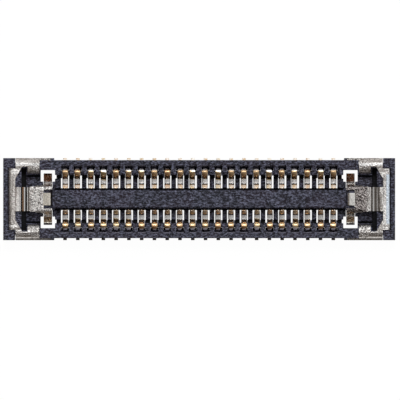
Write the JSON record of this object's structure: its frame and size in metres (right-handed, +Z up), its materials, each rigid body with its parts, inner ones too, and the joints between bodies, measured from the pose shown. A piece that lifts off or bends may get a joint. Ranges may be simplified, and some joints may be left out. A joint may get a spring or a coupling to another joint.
{
  "type": "board-to-board receptacle connector",
  "caption": "Low black receptacle connector: two rows of gold spring contacts round a centre island, with a bent metal fitting at each end.",
  "frame": {"origin": "middle of the part's footprint, on the solder plane that the tails and feet stand on", "axes": "+X along the contact rows, +Y across them from row b to row a, +Z up from the board towards the mating part"},
  "size_m": [0.0108, 0.0022, 0.0007],
  "materials": {
    "housing_plastic": "matt moulded glass-filled liquid crystal polymer, near black",
    "fitting_metal": "bright nickel and tin plating, lightly frosted",
    "contact_metal": "thin gold flash over nickel on copper alloy strip"
  },
  "bodies": {
    "root": {"housing": "housing_plastic", "end_fitting_left": "fitting_metal", "end_fitting_right": "fitting_metal", "contact_a01": "contact_metal", "contact_a02": "contact_metal", "contact_a03": "contact_metal", "contact_a04": "contact_metal", "contact_a05": "contact_metal", "contact_a06": "contact_metal", "contact_a07": "contact_metal", "contact_a08": "contact_metal", "contact_a09": "contact_metal", "contact_a10": "contact_metal", "contact_a11": "contact_metal", "contact_a12": "contact_metal", "contact_a13": "contact_metal", "contact_a14": "contact_metal", "contact_a15": "contact_metal", "contact_a16": "contact_metal", "contact_a17": "contact_metal", "contact_a18": "contact_metal", "contact_a19": "contact_metal", "contact_a20": "contact_metal", "contact_a21": "contact_metal", "contact_a22": "contact_metal", "contact_b01": "contact_metal", "contact_b02": "contact_metal", "contact_b03": "contact_metal", "contact_b04": "contact_metal", "contact_b05": "contact_metal", "contact_b06": "contact_metal", "contact_b07": "contact_metal", "contact_b08": "contact_metal", "contact_b09": "contact_metal", "contact_b10": "contact_metal", "contact_b11": "contact_metal", "contact_b12": "contact_metal", "contact_b13": "contact_metal", "contact_b14": "contact_metal", "contact_b15": "contact_metal", "contact_b16": "contact_metal", "contact_b17": "contact_metal", "contact_b18": "contact_metal", "contact_b19": "contact_metal", "contact_b20": "contact_metal", "contact_b21": "contact_metal", "contact_b22": "contact_metal"}
  },
  "joints": []
}
